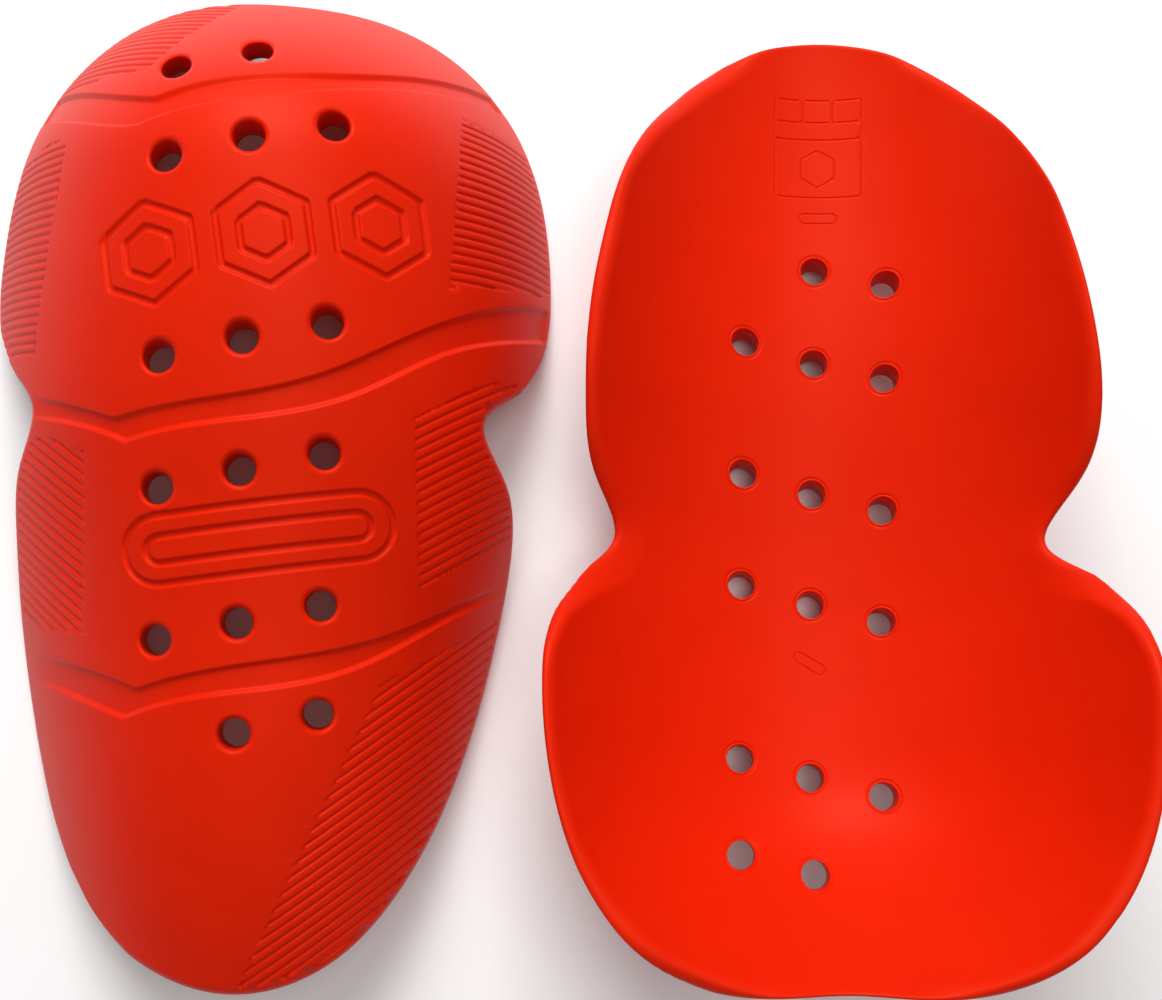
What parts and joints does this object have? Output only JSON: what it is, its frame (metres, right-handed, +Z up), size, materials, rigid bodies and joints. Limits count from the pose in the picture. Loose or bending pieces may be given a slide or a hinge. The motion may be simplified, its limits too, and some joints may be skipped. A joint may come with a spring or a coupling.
{
  "type": "knee guards",
  "caption": "Matching moulded foam knee and shin guards: thin domed lobed shells with a notched waist, round vents, recessed bands and a smooth leg-side hollow.",
  "frame": {"origin": "middle of the pair's footprint, on the surface that they lie on", "axes": "+X from the face-up guard to the upturned one, +Y to the knee end of the face-up guard, +Z up"},
  "size_m": [0.2706, 0.2424, 0.0821],
  "materials": {
    "moulded_foam": "matt skinned moulded foam"
  },
  "bodies": {
    "face_up_guard": {"guard_face_up": "moulded_foam"},
    "upturned_guard": {"guard_hollow_up": "moulded_foam"}
  },
  "joints": [
    {"name": "upturned_guard_lift", "type": "slide", "parent": "face_up_guard", "child": "upturned_guard", "axis": [0, 0, 1], "range_m": [0, 0.12]}
  ]
}
